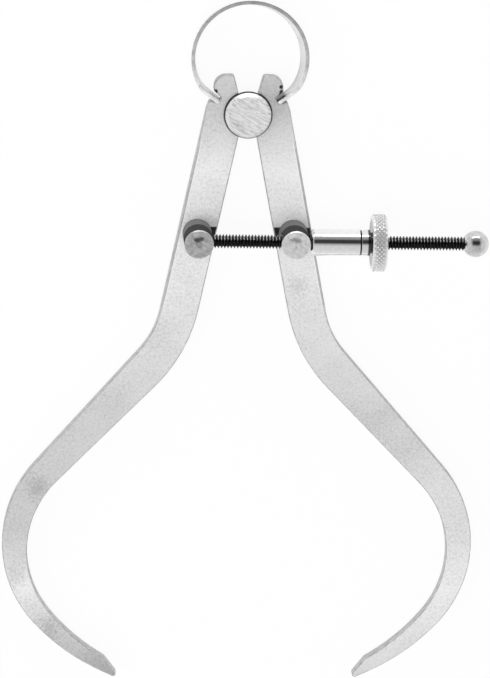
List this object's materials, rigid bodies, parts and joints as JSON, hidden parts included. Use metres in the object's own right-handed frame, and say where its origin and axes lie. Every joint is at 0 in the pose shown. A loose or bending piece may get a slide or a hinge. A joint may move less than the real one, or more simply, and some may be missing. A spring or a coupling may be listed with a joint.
{
  "type": "outside spring caliper",
  "caption": "Spring-loaded outside caliper with two bowed legs pivoting on a spool, a bow spring, swivel posts and a screw with sleeve and knurled nut.",
  "frame": {"origin": "on the fulcrum axis, in the plane of the spool's rear face, which lies on the table", "axes": "+Z out of the front faces, +Y from the fulcrum towards the bow spring, +X towards the nut"},
  "size_m": [0.1194, 0.1759, 0.0202],
  "materials": {
    "leg_steel": "satin ground steel with a dull plated film",
    "spring_steel": "rolled spring strip, edges darker than the faces",
    "turned_steel": "turned steel with fine cutting lines",
    "bright_nickel": "bright nickel plate",
    "black_oxide": "black oxide on cut thread"
  },
  "bodies": {
    "spool": {"fulcrum_spool": "turned_steel", "bow_spring": "spring_steel"},
    "left_leg": {"left_leg": "leg_steel", "anchor_post_washer": "turned_steel"},
    "right_leg": {"right_leg": "leg_steel", "guide_post_washer": "turned_steel"},
    "screw": {"anchor_post": "turned_steel", "screw_lock_pin": "turned_steel", "adjusting_screw": "black_oxide", "screw_ball": "bright_nickel"},
    "guide_post": {"guide_post": "turned_steel", "thrust_sleeve": "bright_nickel"},
    "nut": {"adjusting_nut": "bright_nickel"}
  },
  "joints": [
    {"name": "left_leg_pivot", "type": "hinge", "parent": "spool", "child": "left_leg", "pos_m": [0, 0, 0.00315], "axis": [0, 0, -1], "range_deg": [-11.65, 17.5], "deforming": ["bow_spring"]},
    {"name": "right_leg_pivot", "type": "hinge", "parent": "spool", "child": "right_leg", "pos_m": [0, 0, 0.00315], "axis": [0, 0, 1], "range_deg": [-11.65, 17.5], "deforming": ["bow_spring"]},
    {"name": "anchor_post_swivel", "type": "hinge", "parent": "left_leg", "child": "screw", "pos_m": [-0.01192, -0.03002, 0.00315], "axis": [0, 0, 1], "range_deg": [-11.65, 17.5]},
    {"name": "guide_post_swivel", "type": "hinge", "parent": "right_leg", "child": "guide_post", "pos_m": [0.01192, -0.03002, 0.00315], "axis": [0, 0, -1], "range_deg": [-11.65, 17.5]},
    {"name": "nut_spin", "type": "hinge", "parent": "guide_post", "child": "nut", "pos_m": [0.02807, -0.03002, 0.01305], "axis": [1, 0, 0], "range_deg": [-5530, 8310]}
  ],
  "couplings": [
    {"joint": "left_leg_pivot", "follows": "nut_spin", "ratio": 0.0021041},
    {"joint": "right_leg_pivot", "follows": "nut_spin", "ratio": 0.0021041},
    {"joint": "anchor_post_swivel", "follows": "nut_spin", "ratio": 0.0021041},
    {"joint": "guide_post_swivel", "follows": "nut_spin", "ratio": 0.0021041}
  ]
}
